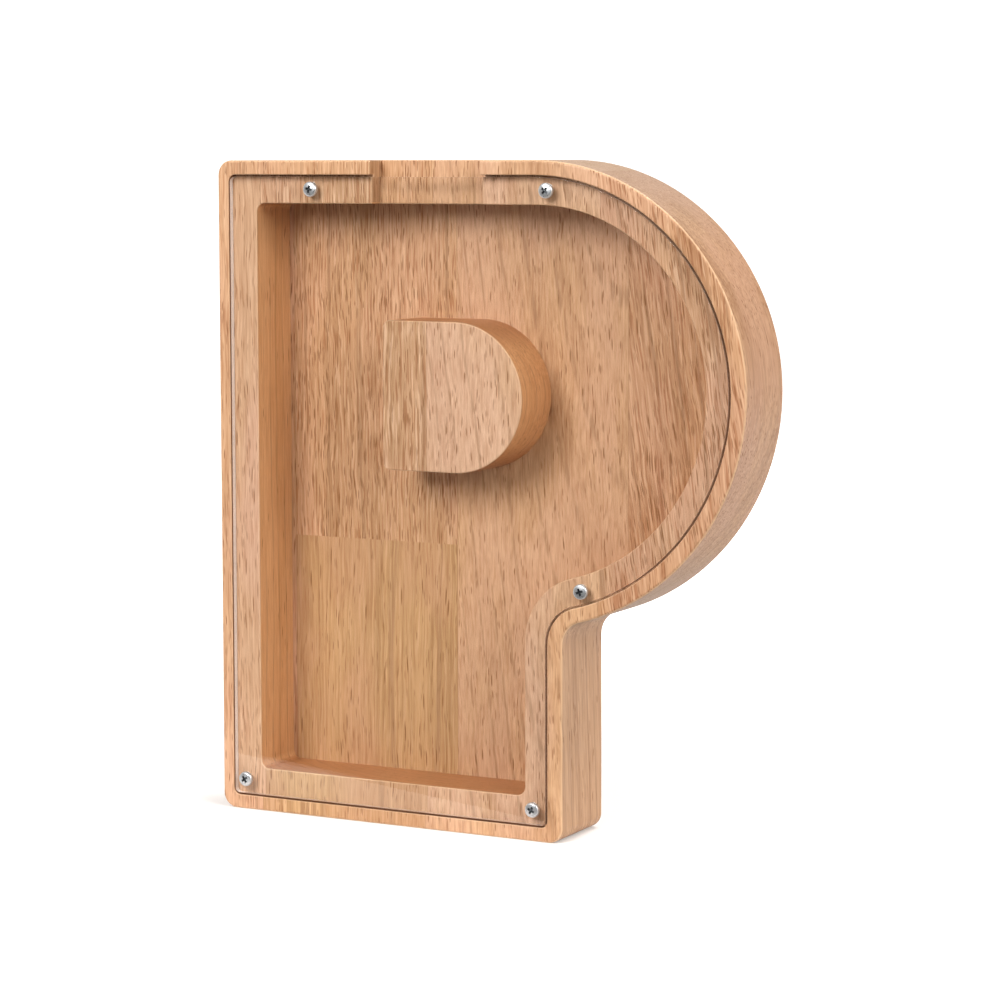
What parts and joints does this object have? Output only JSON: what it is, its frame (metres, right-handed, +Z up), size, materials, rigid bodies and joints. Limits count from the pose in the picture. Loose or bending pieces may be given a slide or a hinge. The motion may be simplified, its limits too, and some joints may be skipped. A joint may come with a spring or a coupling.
{
  "type": "money box",
  "caption": "Upright letter-shaped wooden money box with a milled coin pocket, a clear screwed-on front window and a coin slot in the top edge.",
  "frame": {"origin": "centre of the flat foot that the box stands on, in the middle of the board's thickness", "axes": "+Z up, the window faces -Y, +X to the right seen from the front, towards the round bowl"},
  "size_m": [0.1929, 0.0316, 0.22],
  "materials": {
    "timber": "satin clear lacquer on light hardwood staves",
    "clear_sheet": "clear polished acrylic",
    "zinc": "bright zinc plate"
  },
  "bodies": {
    "board": {"stave_1_left": "timber", "stave_2_lower": "timber", "stave_2_upper": "timber", "stave_3_middle": "timber", "stave_4_right": "timber"},
    "window": {"window": "clear_sheet"},
    "top_left_screw": {"top_left_screw": "zinc"},
    "top_right_screw": {"top_right_screw": "zinc"},
    "underside_screw": {"underside_screw": "zinc"},
    "bottom_right_screw": {"bottom_right_screw": "zinc"},
    "bottom_left_screw": {"bottom_left_screw": "zinc"}
  },
  "joints": [
    {"name": "window_lift", "type": "slide", "parent": "board", "child": "window", "axis": [0, -1, 0], "range_m": [0, 0.014]},
    {"name": "top_left_screw_turn", "type": "hinge", "parent": "window", "child": "top_left_screw", "pos_m": [-0.02795, -0.015, 0.21045], "axis": [0, -1, 0], "range_deg": [0, 5041]},
    {"name": "top_right_screw_turn", "type": "hinge", "parent": "window", "child": "top_right_screw", "pos_m": [0.05931, -0.015, 0.21029], "axis": [0, -1, 0], "range_deg": [0, 5041]},
    {"name": "underside_screw_turn", "type": "hinge", "parent": "window", "child": "underside_screw", "pos_m": [0.07169, -0.015, 0.08278], "axis": [0, -1, 0], "range_deg": [0, 5041]},
    {"name": "bottom_right_screw_turn", "type": "hinge", "parent": "window", "child": "bottom_right_screw", "pos_m": [0.05425, -0.015, 0.0105], "axis": [0, -1, 0], "range_deg": [0, 5041]},
    {"name": "bottom_left_screw_turn", "type": "hinge", "parent": "window", "child": "bottom_left_screw", "pos_m": [-0.05515, -0.015, 0.0105], "axis": [0, -1, 0], "range_deg": [0, 5041]}
  ],
  "couplings": [
    {"joint": "top_left_screw_turn", "follows": "window_lift", "rad_per_m": 6283.2},
    {"joint": "top_right_screw_turn", "follows": "window_lift", "rad_per_m": 6283.2},
    {"joint": "underside_screw_turn", "follows": "window_lift", "rad_per_m": 6283.2},
    {"joint": "bottom_right_screw_turn", "follows": "window_lift", "rad_per_m": 6283.2},
    {"joint": "bottom_left_screw_turn", "follows": "window_lift", "rad_per_m": 6283.2}
  ]
}
